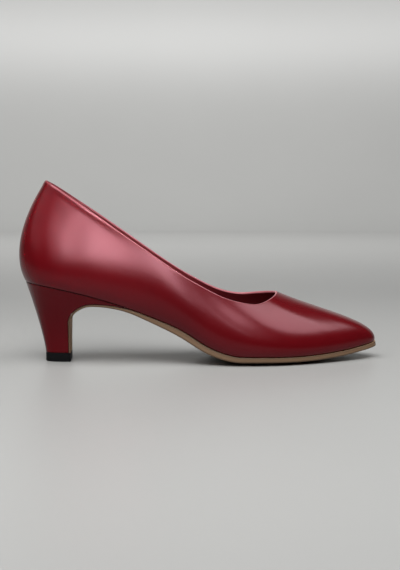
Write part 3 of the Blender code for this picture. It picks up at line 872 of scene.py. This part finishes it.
def sole_finish(name):
    """Sole leather: tan grain underneath and a polished edge with the layers' fine lengthwise lines, with
    painted shade darkening the edge at its top and bottom.
    """
    colours = bpy.context.scene.pump.colours
    sole = Finish(name)
    burnish = sole.layer("burnish")
    level = sole.layer("level")
    clouds = sole.noise(cells=45.0, detail=4.0)
    fibres = sole.noise(cells=500.0, detail=4.0, stretch=(0.15, 1.0, 1.0))
    forward, height = [
        sole.add("ShaderNodeSeparateXYZ", sockets={0: sole.place}, out=axis) for axis in "XZ"
    ]
    run = forward - height
    on_edge = sole.add("ShaderNodeCombineXYZ", sockets={"X": run * 40.0, "Y": level * 9.0})
    lines = sole.add(
        "ShaderNodeTexNoise", sockets={"Vector": on_edge, "Scale": 1.0, "Detail": 3.0}, out="Fac"
    )
    grain = sole.blend(clouds * 0.7 + fibres * 0.3, tinted(colours.sole, 0.78), tinted(colours.sole, 1.2))
    # Painted shade: the edge is painted darker at its top, under the upper, and at its bottom, over the
    # floor. The fine lengthwise lines mixed in with it are the edge's own layers
    edge_shade = sole.ramp(level, ((0.0, 0.3), (0.16, 0.85), (0.6, 0.75), (1.0, 0.25)))
    lines_and_edge_shade = edge_shade * 0.7 + lines * 0.4 - 0.1
    edge = sole.blend(lines_and_edge_shade, tinted(colours.sole_edge, 0.55), tinted(colours.sole_edge, 1.3))
    return sole.set(
        Base_Color=sole.blend(burnish, grain, edge),
        Roughness=0.62 - 0.14 * burnish + 0.08 * fibres,
        Normal=sole.relief(fibres * 0.5 + lines * 0.5, strength=0.12),
        Specular_IOR_Level=0.3,
    )


def rubber_finish(name):
    """Black moulded rubber with a trimmed, finely scored side."""
    tint = bpy.context.scene.pump.colours.rubber
    rubber = Finish(name)
    dust = rubber.noise(cells=220.0, detail=4.0)
    score = rubber.noise(cells=160.0, detail=3.0, stretch=(1.0, 1.0, 9.0))
    return rubber.set(
        Base_Color=rubber.blend(dust, tinted(tint, 0.6), tinted(tint, 1.4)),
        Roughness=0.50 + 0.14 * dust,
        Normal=rubber.relief(score, strength=0.18),
        Specular_IOR_Level=0.08,
    )


def upper_rings(last):
    """The calf of the upper: bend at the feather line, outside with its hem, hidden face, lasted margin."""
    leather = last.leather
    where = around(ROUND_STEPS)
    start = last.up_from_foot(where, leather.feather_round)
    hem = last.down_from_top(where, leather.hem_reach)
    end = roll_foot(last, where)
    up = np.concatenate([ramps(start, hem, WALL_STEPS), ramps(hem, end, HEM_STEPS)[:, 1:]], axis=1)
    outside, out, _ = last.wall_frame(where, up)
    steps = np.linalg.norm(np.diff(outside, axis=1), axis=2)[:, ::-1]
    below = np.concatenate([np.zeros((len(where), 1)), np.cumsum(steps, axis=1)], axis=1)[:, ::-1]
    relief = hem_relief(leather, outside[..., 0], below + leather.roll_seat)
    outside = outside + out * relief[..., None]

    hidden, hidden_out, _ = last.wall_frame(where, ramps(end, start, HIDDEN_STEPS))
    hidden = hidden - hidden_out * leather.calf
    margin = last.foot_points(where, -leather.lasting_margin)
    lifted = margin + np.array([0.0, 0.0, leather.lasting_thickness])
    turned = last.foot_points(where, -leather.feather_round)
    foot = last.foot_points(where)
    bends = [
        bend_through(*corner, FEATHER_STEPS) for corner in zip(turned, foot, outside[:, 0])
    ]
    return np.concatenate(
        [turned[:, None], bends, outside, hidden, lifted[:, None], margin[:, None]], axis=1
    )


def hem_shown(leather, station):
    """How much of the turned hem shows at a station: all of it at the back, none along the waist."""
    return smooth((leather.hem_end - station) / (leather.hem_end - leather.hem_full))


def roll_foot(last, where):
    """Where up the wall the roll begins, lower over the turned hem."""
    edge, _, _ = last.wall_frame(where, np.ones((1, 1)))
    rise = last.leather.hem_rise * hem_shown(last.leather, edge[:, 0, 0])
    return last.down_from_top(where, last.leather.roll_seat + rise)


def hem_relief(leather, station, below):
    """How far the soft bead of the turned hem stands out of the wall."""
    swell = np.exp(-0.5 * (below / leather.hem_spread) ** 2)
    return leather.hem_bead * hem_shown(leather, station) * swell


def lining_rings(last):
    """The lining: a thin closed wall inside the calf, from behind the insole to the roll."""
    leather = last.leather
    where = around(ROUND_STEPS)
    start = last.up_from_foot(where, leather.lining_foot)
    end = roll_foot(last, where)
    back, back_out, _ = last.wall_frame(where, ramps(start, end, HIDDEN_STEPS))
    face, face_out, _ = last.wall_frame(where, ramps(end, start, LINING_STEPS))
    return np.concatenate(
        [back - back_out * (leather.calf + leather.lining_space), face - face_out * leather.wall], axis=1
    )


def edged_rings(under, over, radii):
    """Rings round a sheet, from rows across its lower and its upper face and the radii of its corners."""
    rings = []
    for low, high in zip(under, over):
        medial = across(low[-1:], high[-1:], EDGE_STEPS)[0]
        lateral = across(high[:1], low[:1], EDGE_STEPS)[0]
        rings.append(rounded_ring((low, medial, high[::-1], lateral), radii))
    return np.array(rings)


def insole_rings(last):
    """The insole with its sock, rounded along its upper edge."""
    leather = last.leather
    where = along(ALONG_STEPS)
    faces = []
    low = leather.lasting_thickness + leather.gap
    for height in (low, low + leather.insole):
        edges = [
            last.inside_points(side, height) - last.plan_normal(side, FOOT_X, FOOT_Y) * leather.gap
            for side in (where, -where)
        ]
        faces.append(last.on_bed(across(*edges, ACROSS_STEPS), height))
    return edged_rings(*faces, (0.0, 0.0, leather.insole_round, leather.insole_round))


def outsole_rings(last):
    """The sole's rings from the foot of the flap to the toe, with their burnish and how far up its edge."""
    leather = last.leather
    heel = last.heel
    line, cupping, inward = last.arch_line(heel.wing_join)
    lateral = last.heel_half_width(line[:, 0], line[:, 1], medial=False)
    medial = last.heel_half_width(line[:, 0], line[:, 1], medial=True)
    ease = np.clip((line[:, 0] - heel.wing_tip) / (heel.wing_join - heel.wing_tip), 0, 1)
    outset = ease * leather.sole_edge
    flap = last.arch_rows(line, cupping, lateral + outset, medial + outset)
    into_heel = np.stack([inward[:, 0], np.zeros(len(line)), inward[:, 1]], axis=-1)[:, None, :]
    flap_depth = np.maximum(last.sole_thickness(line[:, 0]), leather.breast_flap)[:, None, None]
    flap_under = flap - into_heel * flap_depth

    where = along(ALONG_STEPS)
    half_step = 0.5 / ALONG_STEPS / 2
    where = where[where > last.place_of(heel.wing_join) + half_step]
    edges = [last.foot_points(side, leather.sole_edge) for side in (where, -where)]
    plan = across(*edges, ACROSS_STEPS)
    tread = last.on_bed(plan, -leather.gap)
    depth = last.sole_thickness(plan[..., 0])[..., None]
    tread_under = tread - last.bed_normal(plan[..., 0], plan[..., 1]) * depth
    tread_under[..., 2] = np.maximum(tread_under[..., 2], 0.0)

    radii = (leather.sole_bevel, leather.sole_bevel, leather.sole_round, leather.sole_round)
    under = np.concatenate([flap_under, tread_under])
    rings = edged_rings(under, np.concatenate([flap, tread]), radii)
    arc = CORNER_STEPS - 1
    face = np.concatenate([np.ones(arc), np.zeros(ACROSS_STEPS + 1)])
    edge = np.ones(arc + EDGE_STEPS + 1)
    burnish = np.concatenate([face, edge, face, edge])
    climb = np.concatenate([np.zeros(arc), np.linspace(0, 1, EDGE_STEPS + 1)])
    level = np.concatenate([np.zeros(len(face)), climb, np.ones(len(face)), 1 - climb])
    layers = {"burnish": np.tile(burnish, len(rings)), "level": np.tile(level, len(rings))}
    return rings, layers


def heel_rings(last):
    """The covered heel: cupped seat, hollowed back and sides, breast, and a thin wing to the waist."""
    leather = last.leather
    base_x, base_y = last.base_outline()
    base_z = np.full(len(base_x), last.base_z)
    line, cupping, inward = last.arch_line(last.heel.wing_tip)
    line = (line + inward * leather.gap)[1:]
    cupping = cupping[1:]
    seat_x = line[:, 0].copy()
    over_breast = np.linspace(last.heel.breast_seat, seat_x[BREAST_STEPS], BREAST_STEPS + 1)
    seat_x[:BREAST_STEPS] = over_breast[1:]
    back_places = np.linspace(0, last.place_of(last.heel.breast_seat), HEEL_BACK_STEPS + 1)
    where = np.concatenate([back_places, last.place_of(seat_x)])
    widths = [last.heel_half_width(line[:, 0], line[:, 1], medial) for medial in (False, True)]
    breast = last.arch_rows(line, cupping, *widths)
    base = across(
        np.stack([base_x, -base_y, base_z], axis=-1),
        np.stack([base_x, base_y, base_z], axis=-1),
        ACROSS_STEPS,
    )
    under = np.concatenate([base, breast])
    drop = np.array([0.0, 0.0, leather.gap])
    lateral = last.heel_side(under[:, 0], last.foot_points(where) - drop)
    medial = last.heel_side(under[:, -1], last.foot_points(-where) - drop)
    over = last.on_bed(across(lateral[:, -1], medial[:, -1], ACROSS_STEPS), -leather.gap)
    radii = [last.heel.edge_round] * 4
    rows = zip(lateral, over, medial[:, ::-1], under[:, ::-1])
    return np.array([rounded_ring(sides, radii) for sides in rows])


def top_piece_rings(last):
    """The rubber top piece under the heel and the end of the breast flap."""
    heel = last.heel
    x, y = last.base_outline()
    front = last.breast_x + last.leather.breast_flap
    x = np.append(x, front)
    y = np.append(y, heel.base_half)
    outline = np.concatenate([np.stack([x, -y], axis=-1), np.stack([x[:0:-1], y[:0:-1]], axis=-1)])
    middle = np.array([(heel.base_back + front) / 2, 0.0])
    top = heel.top_piece_height
    levels = (
        (0.0, heel.top_piece_bevel),
        (heel.top_piece_bevel, 0.0),
        (top - heel.top_piece_round, 0.0),
        (top, heel.top_piece_round),
    )
    rings = []
    for height, inset in levels:
        flat = middle + (outline - middle) * (1 - inset / heel.base_half)
        rings.append(np.column_stack([flat, np.full(len(flat), height)]))
    return np.array(rings)


def roll_tree():
    """Geometry Nodes that sweep a round roll with a flat seat along a closed line of points."""
    tree = bpy.data.node_groups.new("topline roll", "GeometryNodeTree")
    face = tree.interface
    face.new_socket("Line", in_out="INPUT", socket_type="NodeSocketGeometry")
    for name in ("Radius", "Seat"):
        face.new_socket(name, in_out="INPUT", socket_type="NodeSocketFloat").subtype = "DISTANCE"
    face.new_socket("Sides", in_out="INPUT", socket_type="NodeSocketInt")
    face.new_socket("Leather", in_out="INPUT", socket_type="NodeSocketMaterial")
    face.new_socket("Roll", in_out="OUTPUT", socket_type="NodeSocketGeometry")
    given = tree.nodes.new("NodeGroupInput")
    line, radius, seat, sides, leather = [Wire(socket) for socket in given.outputs[:5]]

    def add(kind, settings=None, sockets=None, out=0):
        return Wire.node(tree, kind, settings, sockets, out)

    def layer(name, kind="FLOAT"):
        return add("GeometryNodeInputNamedAttribute", {"data_type": kind}, {"Name": name})

    curve = add("GeometryNodeMeshToCurve", sockets={"Mesh": line})
    upward = layer("upward", "FLOAT_VECTOR")
    curve = add("GeometryNodeSetCurveNormal", {"mode": "FREE"}, {"Curve": curve, "Normal": upward})
    circle = add("GeometryNodeCurvePrimitiveCircle", sockets={"Resolution": sides, "Radius": radius})
    place = add("GeometryNodeInputPosition")
    x, y, z = [add("ShaderNodeSeparateXYZ", sockets={0: place}, out=axis) for axis in "XYZ"]
    level = x.maths("MAXIMUM", x, 0.0 - seat)
    seated = add("ShaderNodeCombineXYZ", sockets={"X": level, "Y": y, "Z": z})
    profile = add("GeometryNodeSetPosition", sockets={"Geometry": circle, "Position": seated})
    # crown is 1 at the top of the roll. It lifts the roll over the hem, and the fold's material uses it to
    # place its painted highlight
    crown = level.maths("DIVIDE", level, radius)
    profile = add("GeometryNodeStoreNamedAttribute", sockets={0: profile, "Name": "crown", "Value": crown})
    swept = add(
        "GeometryNodeCurveToMesh",
        sockets={"Curve": curve, "Profile Curve": profile, "Scale": layer("fullness")},
    )
    rise = layer("crown") * layer("rise")
    lift = add("ShaderNodeVectorMath", {"operation": "SCALE"}, {0: upward, "Scale": rise})
    swept = add("GeometryNodeSetPosition", sockets={"Geometry": swept, "Offset": lift})
    swept = add("GeometryNodeRealizeInstances", sockets={"Geometry": swept})
    swept = add("GeometryNodeSetMaterial", sockets={"Geometry": swept, "Material": leather})
    add("NodeGroupOutput", sockets={0: swept})
    return tree


def swept_mesh(name, points, values, tree, inputs):
    """A plain mesh from a closed line of points with named values, swept by a tree with named inputs."""
    data = bpy.data.meshes.new(name)
    count = len(points)
    edges = [(i, (i + 1) % count) for i in range(count)]
    data.from_pydata((points + origin()).tolist(), edges, [])
    add_layers(data, values)
    guide = bpy.data.objects.new(name, data)
    bpy.context.scene.collection.objects.link(guide)
    modifier = guide.modifiers.new(name, "NODES")
    modifier.node_group = tree
    for socket in tree.interface.items_tree:
        if socket.in_out == "INPUT" and socket.name in inputs:
            modifier[socket.identifier] = inputs[socket.name]
    evaluated = guide.evaluated_get(bpy.context.evaluated_depsgraph_get())
    swept = bpy.data.meshes.new_from_object(evaluated)
    bpy.data.objects.remove(guide)
    if not len(swept.polygons):
        raise RuntimeError(f"the tree of {name} made no faces")
    weld(swept)
    return swept


class PUMP_OT_upper(bpy.types.Operator):
    """Make the calf upper, hollow and open at the collar."""

    bl_idname = "pump.upper"
    bl_label = "Calf Upper"

    def execute(self, context):
        data = loft("upper_calf", upper_rings(Last(context.scene.pump)), closed=True)
        add_piece("upper_calf", data, calf_finish("red calf", CALF_SHINE), "upper")
        return {"FINISHED"}


class PUMP_OT_topline(bpy.types.Operator):
    """Make the rolled topline along the edge of the collar."""

    bl_idname = "pump.topline"
    bl_label = "Rolled Topline"

    def execute(self, context):
        last = Last(context.scene.pump)
        leather = last.leather
        where = around(ROUND_STEPS)
        edge, out, climb = last.wall_frame(where, np.ones((1, 1)))
        shown = hem_shown(leather, edge[:, :, 0])
        bead = leather.hem_bead * shown
        rise = leather.hem_rise * shown
        middle = edge[:, 0] - out[:, 0] * (leather.wall - bead) / 2 - climb[:, 0] * rise
        values = {
            "upward": climb[:, 0],
            "fullness": 1.0 + bead[:, 0] / (2 * leather.roll_radius),
            "rise": rise[:, 0],
            # How much of the painted highlight on the crown each point keeps: less over the turned hem at
            # the back
            "wear": 1.0 - HIGHLIGHT_FADE_OVER_HEM * shown[:, 0],
        }
        finish = fold_finish("red calf fold")
        inputs = {
            "Radius": leather.roll_radius,
            "Seat": leather.roll_seat,
            "Sides": ROLL_SIDES,
            "Leather": finish,
        }
        data = swept_mesh("topline_roll", middle, values, roll_tree(), inputs)
        add_piece("topline_roll", data, finish, "upper")
        return {"FINISHED"}


class PUMP_OT_lining(bpy.types.Operator):
    """Make the kid lining inside the upper."""

    bl_idname = "pump.lining"
    bl_label = "Lining"

    def execute(self, context):
        data = loft("lining", lining_rings(Last(context.scene.pump)), closed=True)
        add_piece("lining", data, lining_finish("red kid lining"), "upper")
        return {"FINISHED"}


class PUMP_OT_insole(bpy.types.Operator):
    """Make the insole with its sock."""

    bl_idname = "pump.insole"
    bl_label = "Insole Sock"

    def execute(self, context):
        data = loft("insole_sock", insole_rings(Last(context.scene.pump)), closed=False)
        add_piece("insole_sock", data, lining_finish("red kid sock"), "insole")
        return {"FINISHED"}


class PUMP_OT_outsole(bpy.types.Operator):
    """Make the leather sole with its flap down the heel's breast."""

    bl_idname = "pump.outsole"
    bl_label = "Leather Sole"

    def execute(self, context):
        rings, layers = outsole_rings(Last(context.scene.pump))
        data = loft("leather_sole", rings, closed=False, layers=layers)
        add_piece("leather_sole", data, sole_finish("tan sole leather"), "outsole")
        return {"FINISHED"}


class PUMP_OT_heel(bpy.types.Operator):
    """Make the heel block with its drawn-over calf."""

    bl_idname = "pump.heel"
    bl_label = "Covered Heel"

    def execute(self, context):
        data = loft("covered_heel", heel_rings(Last(context.scene.pump)), closed=False)
        add_piece("covered_heel", data, calf_finish("red calf cover", COVER_SHINE), "heel")
        return {"FINISHED"}


class PUMP_OT_top_piece(bpy.types.Operator):
    """Make the rubber top piece under the heel."""

    bl_idname = "pump.top_piece"
    bl_label = "Top Piece"

    def execute(self, context):
        data = loft("rubber_top_piece", top_piece_rings(Last(context.scene.pump)), closed=False)
        add_piece("rubber_top_piece", data, rubber_finish("black rubber"), "top_piece")
        return {"FINISHED"}


# The picture's height in pixels, the camera's sensor in millimetres and its nearest view, the floor's mesh
# steps up its curve and round it, and the faint light from all around
IMAGE_HEIGHT = 570
SENSOR = 36.0
NEAREST_VIEW = 0.01
COVE_STEPS = 24
TURN_STEPS = 96
ROOM_TINT = (0.9, 0.93, 1.0, 1.0)
ROOM_BRIGHTNESS = 0.04

# The studio's lights: where each stands and what it faces, in metres, its width and height, its turn about
# that line in degrees, its brightness, and the angle in degrees that its grid lets light out at
Softbox = namedtuple("Softbox", "name place aim spread turn brightness grid")
NO_GRID = 180.0
BACK_QUARTER = (-0.06, 0.0, 0.07)
COUNTER = (-0.085, -0.02, 0.085)
WHOLE_SHOE = (0.0, 0.0, 0.05)
SOFTBOXES = (
    Softbox("left strip", (-0.175, -0.39, 0.255), BACK_QUARTER, (0.28, 0.05), -28.0, 4.3, NO_GRID),
    Softbox("left halo", (-0.22, -0.38, 0.262), BACK_QUARTER, (0.30, 0.17), -28.0, 1.64, NO_GRID),
    Softbox("upper strip", (-0.02, -0.40, 0.265), BACK_QUARTER, (0.26, 0.05), -25.0, 3.8, NO_GRID),
    Softbox("long strip", (-0.054, -0.29, 0.180), (-0.10, 0.0, 0.09), (0.18, 0.024), -29.0, 0.40, 12.0),
    Softbox("waist strip", (-0.070, -0.29, 0.180), (-0.07, 0.0, 0.09), (0.18, 0.04), -29.0, 0.09, 10.0),
    Softbox("counter strip", (-0.144, -0.354, 0.297), COUNTER, (0.10, 0.05), -28.0, 0.10, 14.0),
    Softbox("low counter strip", (-0.149, -0.385, 0.235), COUNTER, (0.10, 0.05), -28.0, 0.08, 14.0),
    Softbox("front counter strip", (-0.055, -0.358, 0.297), COUNTER, (0.10, 0.05), -28.0, 0.65, 14.0),
    Softbox("heel softbox", (-0.50, -0.20, 1.30), WHOLE_SHOE, (0.9, 0.9), 0.0, 6.4, NO_GRID),
    Softbox("back softbox", (-0.90, -0.30, 1.00), WHOLE_SHOE, (1.6, 1.6), 0.0, 0.75, NO_GRID),
    Softbox("toe softbox", (0.70, -0.15, 1.10), WHOLE_SHOE, (0.75, 0.75), 0.0, 5.9, NO_GRID),
    Softbox("front softbox", (0.0, -0.75, 1.20), WHOLE_SHOE, (1.0, 1.0), 0.0, 7.2, NO_GRID),
    Softbox("vamp softbox", (0.20, -0.55, 0.55), (0.10, 0.0, 0.02), (0.8, 0.8), 0.0, 0.09, 50.0),
    Softbox("backdrop light", (0.0, 1.0, 1.9), (0.0, 3.2, 0.3), (2.4, 0.8), 0.0, 14.7, 140.0),
)


def floor_finish(name):
    """Pale, faintly polished floor."""
    tint = bpy.context.scene.pump.colours.floor
    floor = Finish(name)
    clouds = floor.noise(cells=3.0, detail=3.0)
    return floor.set(
        Base_Color=floor.blend(clouds, tinted(tint, 0.97), tinted(tint, 1.03)),
        Roughness=0.42,
        Specular_IOR_Level=0.35,
    )


def add_floor(stage):
    """A round floor that curves up into a backdrop on all sides."""
    turn = np.linspace(0, np.pi / 2, COVE_STEPS + 1)
    radius = np.concatenate([[0.0], stage.floor_radius + stage.cove_radius * np.sin(turn)])
    height = np.concatenate([[0.0], stage.cove_radius * (1 - np.cos(turn))])
    radius = np.append(radius, radius[-1])
    height = np.append(height, stage.backdrop_height)
    angles = np.arange(TURN_STEPS) * 2 * np.pi / TURN_STEPS
    points = np.stack(
        [
            radius[:, None] * np.cos(angles),
            radius[:, None] * np.sin(angles),
            np.broadcast_to(height[:, None], (len(height), TURN_STEPS)),
        ],
        axis=-1,
    )
    index = np.arange(len(height) * TURN_STEPS).reshape(-1, TURN_STEPS)
    data = bpy.data.meshes.new("floor")
    data.from_pydata(points.reshape(-1, 3).tolist(), [], ring_faces(index, closed=False))
    weld(data, closed=False)
    data.materials.append(floor_finish("pale floor"))
    floor = bpy.data.objects.new("floor", data)
    bpy.context.scene.collection.objects.link(floor)


def add_softbox(name, place, aim, spread, turn, brightness, grid):
    """A soft oval light that faces a point, turned in degrees about that line."""
    width, height = spread
    lamp = bpy.data.lights.new(name, "AREA")
    lamp.shape = "ELLIPSE"
    lamp.size = width
    lamp.size_y = height
    area = np.pi / 4 * width * height
    lamp.energy = brightness * np.pi * area
    lamp.spread = np.radians(grid)
    light = bpy.data.objects.new(name, lamp)
    light.location = place
    facing = (Vector(aim) - Vector(place)).to_track_quat("-Z", "Y")
    light.rotation_euler = (facing @ Quaternion((0.0, 0.0, 1.0), np.radians(turn))).to_euler()
    light.visible_camera = False
    bpy.context.scene.collection.objects.link(light)


def add_camera(stage):
    """A camera beside the shoe's waist, on its outer side, that faces the middle of the shoe."""
    back = origin()
    eye = Vector((back[0] + stage.camera_station, back[1] - stage.camera_distance, stage.camera_height))
    low, high = CAD_BOX
    aim = Vector(((low.x + high.x) / 2, back[1], stage.aim_height))
    lens = bpy.data.cameras.new("camera")
    lens.sensor_width = SENSOR
    lens.lens = SENSOR * stage.camera_distance / (IMAGE_HEIGHT * stage.pixel)
    lens.clip_start = NEAREST_VIEW
    camera = bpy.data.objects.new("camera", lens)
    camera.location = eye
    camera.rotation_euler = (aim - eye).to_track_quat("-Z", "Y").to_euler()
    bpy.context.scene.collection.objects.link(camera)
    bpy.context.scene.camera = camera


class PUMP_OT_stage(bpy.types.Operator):
    """Make the floor, the soft lights and the camera."""

    bl_idname = "pump.stage"
    bl_label = "Stage"

    def execute(self, context):
        stage = context.scene.pump.stage
        add_floor(stage)
        for box in SOFTBOXES:
            add_softbox(*box)
        world = bpy.data.worlds.new("studio")
        world.use_nodes = True
        background = world.node_tree.nodes["Background"]
        background.inputs["Color"].default_value = ROOM_TINT
        background.inputs["Strength"].default_value = ROOM_BRIGHTNESS
        context.scene.world = world
        context.scene.view_settings.view_transform = "Standard"
        add_camera(stage)
        return {"FINISHED"}


class PUMP_PT_sidebar(bpy.types.Panel):
    """Lists the pump's pieces and sizes."""

    bl_idname = "PUMP_PT_sidebar"
    bl_label = "Kitten Heel Pump"
    bl_space_type = "VIEW_3D"
    bl_region_type = "UI"
    bl_category = "Pump"

    def draw(self, context):
        for operator in OPERATORS:
            self.layout.operator(operator.bl_idname)
        for group in ("last", "leather", "heel", "colours", "stage"):
            box = self.layout.box()
            box.label(text=group.capitalize())
            settings = getattr(context.scene.pump, group)
            for name in settings.__annotations__:
                box.prop(settings, name)


GROUPS = (LastSizes, LeatherSizes, HeelSizes, FinishColours, StageSizes, PumpSettings)
OPERATORS = (
    PUMP_OT_upper,
    PUMP_OT_topline,
    PUMP_OT_lining,
    PUMP_OT_insole,
    PUMP_OT_outsole,
    PUMP_OT_heel,
    PUMP_OT_top_piece,
    PUMP_OT_stage,
)


def register():
    """Registers the settings, the operators and the panel."""
    for kind in (*GROUPS, *OPERATORS, PUMP_PT_sidebar):
        bpy.utils.register_class(kind)
    bpy.types.Scene.pump = PointerProperty(type=PumpSettings)


def unregister():
    """Takes back what register() added."""
    del bpy.types.Scene.pump
    for kind in reversed((*GROUPS, *OPERATORS, PUMP_PT_sidebar)):
        bpy.utils.unregister_class(kind)


def main():
    """Makes every piece and the stage."""
    register()
    bpy.ops.pump.upper()
    bpy.ops.pump.topline()
    bpy.ops.pump.lining()
    bpy.ops.pump.insole()
    bpy.ops.pump.outsole()
    bpy.ops.pump.heel()
    bpy.ops.pump.top_piece()
    bpy.ops.pump.stage()


if __name__ == "__main__":
    main()
